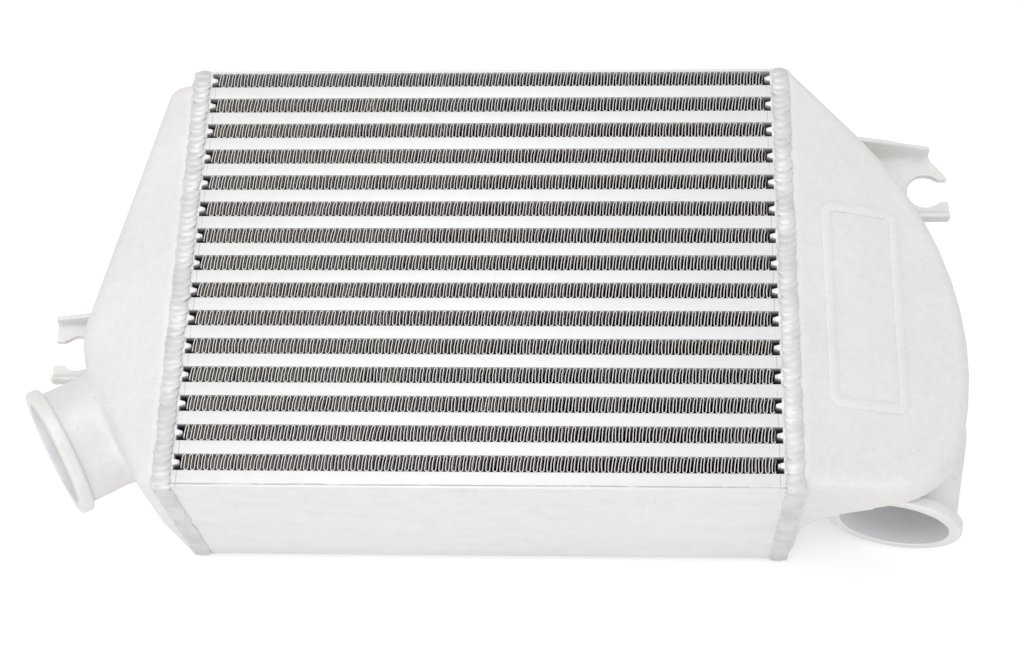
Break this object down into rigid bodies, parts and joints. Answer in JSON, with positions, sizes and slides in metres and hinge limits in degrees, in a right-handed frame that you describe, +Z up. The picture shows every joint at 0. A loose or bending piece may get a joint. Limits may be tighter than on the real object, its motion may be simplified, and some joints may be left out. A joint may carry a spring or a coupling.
{
  "type": "intercooler",
  "caption": "Bar-and-plate intercooler with cast end tanks, welded on, with two lipped hose necks and two slotted mounting forks.",
  "frame": {"origin": "middle of the core's lower face", "axes": "+X along the core towards the curved tank, +Y across the stack of rows towards the rear, +Z up, the way the cooling air passes"},
  "size_m": [0.5068, 0.2484, 0.1172],
  "materials": {
    "cast_aluminium": "sand-cast and bead-blasted, matt",
    "weld_bead": "bright rippled weld",
    "core_bars": "plain mill aluminium, satin",
    "fin_sheet": "thin folded sheet, dark in its depth",
    "inner_fin_sheet": "plain sheet inside the tubes"
  },
  "bodies": {
    "root": {"left_tank": "cast_aluminium", "right_tank": "cast_aluminium", "left_weld": "weld_bead", "right_weld": "weld_bead", "front_side_plate": "core_bars", "rear_side_plate": "core_bars", "left_spacer_bars": "core_bars", "right_spacer_bars": "core_bars", "charge_tube_01": "core_bars", "charge_tube_02": "core_bars", "charge_tube_03": "core_bars", "charge_tube_04": "core_bars", "charge_tube_05": "core_bars", "charge_tube_06": "core_bars", "charge_tube_07": "core_bars", "charge_tube_08": "core_bars", "charge_tube_09": "core_bars", "charge_tube_10": "core_bars", "charge_tube_11": "core_bars", "charge_tube_12": "core_bars", "charge_tube_13": "core_bars", "charge_tube_14": "core_bars", "charge_tube_15": "core_bars", "air_fin_01": "fin_sheet", "air_fin_02": "fin_sheet", "air_fin_03": "fin_sheet", "air_fin_04": "fin_sheet", "air_fin_05": "fin_sheet", "air_fin_06": "fin_sheet", "air_fin_07": "fin_sheet", "air_fin_08": "fin_sheet", "air_fin_09": "fin_sheet", "air_fin_10": "fin_sheet", "air_fin_11": "fin_sheet", "air_fin_12": "fin_sheet", "air_fin_13": "fin_sheet", "air_fin_14": "fin_sheet", "air_fin_15": "fin_sheet", "turbulator_01": "inner_fin_sheet", "turbulator_02": "inner_fin_sheet", "turbulator_03": "inner_fin_sheet", "turbulator_04": "inner_fin_sheet", "turbulator_05": "inner_fin_sheet", "turbulator_06": "inner_fin_sheet", "turbulator_07": "inner_fin_sheet", "turbulator_08": "inner_fin_sheet", "turbulator_09": "inner_fin_sheet", "turbulator_10": "inner_fin_sheet", "turbulator_11": "inner_fin_sheet", "turbulator_12": "inner_fin_sheet", "turbulator_13": "inner_fin_sheet", "turbulator_14": "inner_fin_sheet", "turbulator_15": "inner_fin_sheet"}
  },
  "joints": []
}
